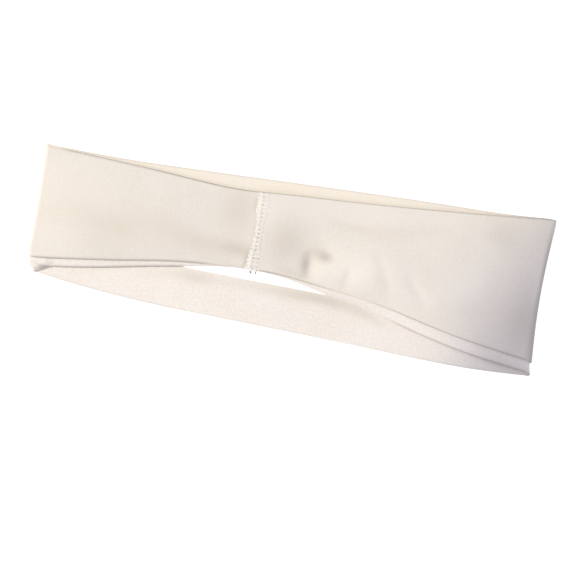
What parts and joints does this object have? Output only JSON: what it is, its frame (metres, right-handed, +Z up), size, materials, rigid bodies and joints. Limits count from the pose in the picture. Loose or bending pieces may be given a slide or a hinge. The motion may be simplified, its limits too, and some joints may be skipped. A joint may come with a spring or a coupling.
{
  "type": "sports headband",
  "caption": "Two-layer stretch-knit headband with a narrow stitched seam at the front and a ponytail opening at the back, lying collapsed flat.",
  "frame": {"origin": "centre of the bounding box, on the surface the band lies on", "axes": "+X along the band from its left fold to its right fold, +Y across the band to its top edge, +Z up through the far half and then the near half"},
  "size_m": [0.2504, 0.0785, 0.01],
  "materials": {
    "shell_knit": "smooth matt cream stretch knit with fine vertical ribs",
    "lining_knit": "slightly brushed warm cream knit",
    "sewing_thread": "soft off-white textured thread",
    "bond_film": "translucent white elastic hot-melt film"
  },
  "bodies": {
    "root": {"shell": "shell_knit", "lining": "lining_knit", "top_edge_bond_film": "bond_film", "opening_edge_bond_film": "bond_film", "needle_thread_left": "sewing_thread", "needle_thread_centre": "sewing_thread", "needle_thread_right": "sewing_thread", "cover_thread": "sewing_thread", "looper_thread": "sewing_thread", "thread_tails": "sewing_thread"}
  },
  "joints": []
}
